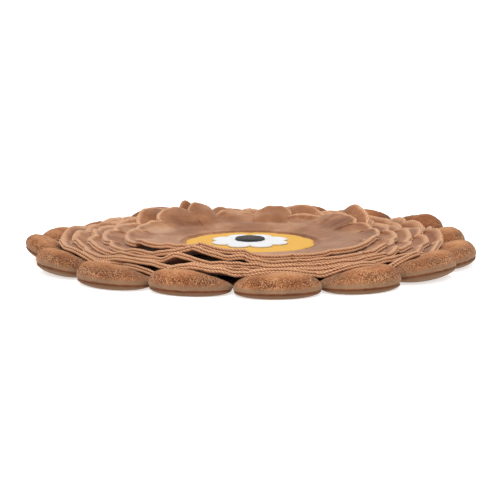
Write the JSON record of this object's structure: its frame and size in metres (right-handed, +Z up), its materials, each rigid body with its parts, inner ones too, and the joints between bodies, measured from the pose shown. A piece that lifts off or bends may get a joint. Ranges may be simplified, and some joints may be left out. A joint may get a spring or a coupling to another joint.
{
  "type": "snuffle mat",
  "caption": "round plush snuffle mat: stuffed rim lobes round a flat pad, and stacked scalloped plush discs sewn at the middle under a flower applique, with loose rippled edges",
  "frame": {"origin": "the middle of the flat underside of the base pad, on the floor", "axes": "+Z up through the stack of discs, -Y towards the picture's camera (the front), +X to its right"},
  "size_m": [0.4907, 0.4985, 0.0422],
  "materials": {
    "backing": "smooth woven backing cloth, matt",
    "rim_plush": "short-pile plush, matt, brushed",
    "petal_plush": "short-pile plush, matt, brushed",
    "yellow_felt": "felt, matt",
    "white_felt": "felt, matt",
    "black_felt": "felt, matt"
  },
  "bodies": {
    "root": {"base_pad": "backing", "rim_lobe_01": "rim_plush", "rim_lobe_02": "rim_plush", "rim_lobe_03": "rim_plush", "rim_lobe_04": "rim_plush", "rim_lobe_05": "rim_plush", "rim_lobe_06": "rim_plush", "rim_lobe_07": "rim_plush", "rim_lobe_08": "rim_plush", "rim_lobe_09": "rim_plush", "rim_lobe_10": "rim_plush", "rim_lobe_11": "rim_plush", "rim_lobe_12": "rim_plush", "rim_lobe_13": "rim_plush", "rim_lobe_14": "rim_plush", "rim_lobe_15": "rim_plush", "rim_lobe_16": "rim_plush", "petal_disc_1": "petal_plush", "petal_disc_2": "petal_plush", "petal_disc_3": "petal_plush", "petal_disc_4": "petal_plush", "petal_disc_5": "petal_plush", "applique_ground": "yellow_felt", "applique_flower": "white_felt", "applique_middle": "black_felt"}
  },
  "joints": []
}
